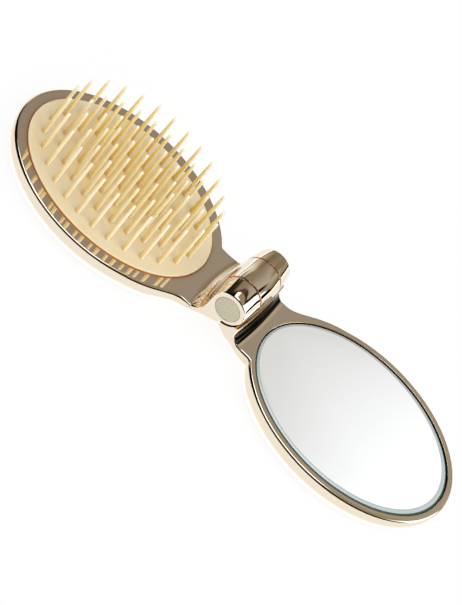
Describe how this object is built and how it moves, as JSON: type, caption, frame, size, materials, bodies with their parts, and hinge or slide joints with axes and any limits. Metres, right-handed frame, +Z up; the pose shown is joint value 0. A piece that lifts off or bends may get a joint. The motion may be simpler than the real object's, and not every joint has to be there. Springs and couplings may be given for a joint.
{
  "type": "folding hair brush with mirror",
  "caption": "Pocket styling brush in a plated oval case, folded out flat on a raised barrel hinge: a pad of moulded pins on one half, a mirror on the other.",
  "frame": {"origin": "on the surface the open object lies on, under the hinge axis and midway between the two ovals", "axes": "+Z up, the way the pins point; +X from the brush half to the mirror half; +Y along the hinge barrel, away from the viewer of the picture"},
  "size_m": [0.18, 0.0592, 0.0265],
  "materials": {
    "gold_plating": "moulded plastic with a mirror-bright champagne-gold chrome plating",
    "bristle_plastic": "smooth amber plastic, paler at the tips of the pins",
    "mirror_silver": "silvered glass with a narrow bevel",
    "adhesive_foam": "matt foam sheet",
    "pin_steel": "satin",
    "washer_plastic": "matt",
    "cap_plastic": "satin plastic, a pale grey-green beige"
  },
  "bodies": {
    "brush": {"brush_frame": "gold_plating", "brush_back_plate": "gold_plating", "bristle_pad": "bristle_plastic", "pad_screw_1": "pin_steel", "pad_screw_2": "pin_steel", "pad_screw_3": "pin_steel", "pad_screw_4": "pin_steel", "hinge_pin": "pin_steel", "pin_cap_near": "cap_plastic", "pin_cap_far": "cap_plastic", "pin_retainer": "pin_steel", "spring_washer": "pin_steel"},
    "mirror": {"mirror_frame": "gold_plating", "mirror_back_plate": "gold_plating", "mirror_glass": "mirror_silver", "mirror_tape": "adhesive_foam", "friction_bush": "washer_plastic", "friction_washer_near": "washer_plastic", "friction_washer_far": "washer_plastic"}
  },
  "joints": [
    {"name": "mirror_fold", "type": "hinge", "parent": "brush", "child": "mirror", "pos_m": [0, 0, 0.0173], "axis": [0, -1, 0], "range_deg": [0, 180]}
  ]
}
